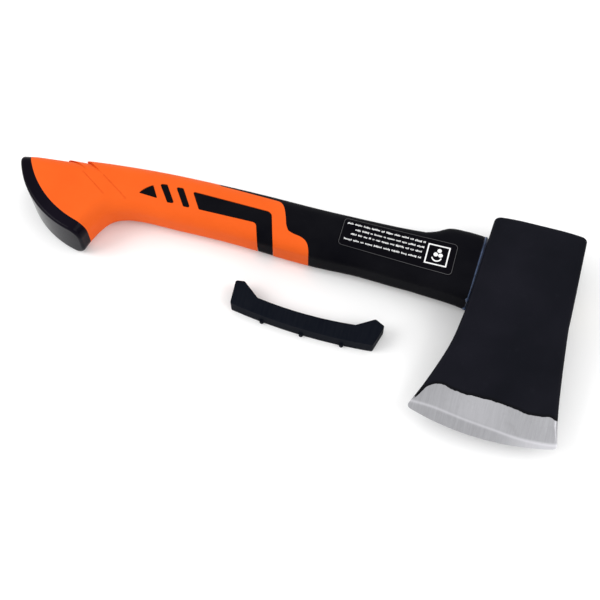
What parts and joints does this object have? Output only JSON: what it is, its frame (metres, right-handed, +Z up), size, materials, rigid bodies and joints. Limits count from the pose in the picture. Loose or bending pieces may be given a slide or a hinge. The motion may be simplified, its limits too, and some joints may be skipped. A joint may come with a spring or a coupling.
{
  "type": "felling axe",
  "caption": "Short one-handed axe lying on its side: forged head, fibreglass-cored two-material handle and a loose slip-on blade guard.",
  "frame": {"origin": "centre of the bounding box in plan, at the floor the axe lies on", "axes": "+X along the handle from pommel to head, +Y from the cutting edge to the poll, +Z up out of the upper cheek"},
  "size_m": [0.3548, 0.136, 0.03],
  "materials": {
    "head_paint": "satin black paint, bare ground steel along the edge",
    "fibreglass": "pultruded fibreglass",
    "resin": "cured epoxy",
    "jacket_plastic": "satin moulded black",
    "grip_rubber": "soft-touch orange",
    "cap_plastic": "gloss black",
    "label_film": "black vinyl with white print",
    "guard_plastic": "satin moulded black"
  },
  "bodies": {
    "axe": {"axe_head": "head_paint", "core_bar": "fibreglass", "eye_resin": "resin", "shoulder_resin": "resin", "handle_jacket": "jacket_plastic", "grip_overmould": "grip_rubber", "butt_cap": "cap_plastic", "safety_label": "label_film"},
    "guard": {"blade_guard": "guard_plastic"}
  },
  "joints": [
    {"name": "guard_slide", "type": "slide", "parent": "axe", "child": "guard", "axis": [0, -1, 0], "range_m": [0, 0.12]}
  ]
}
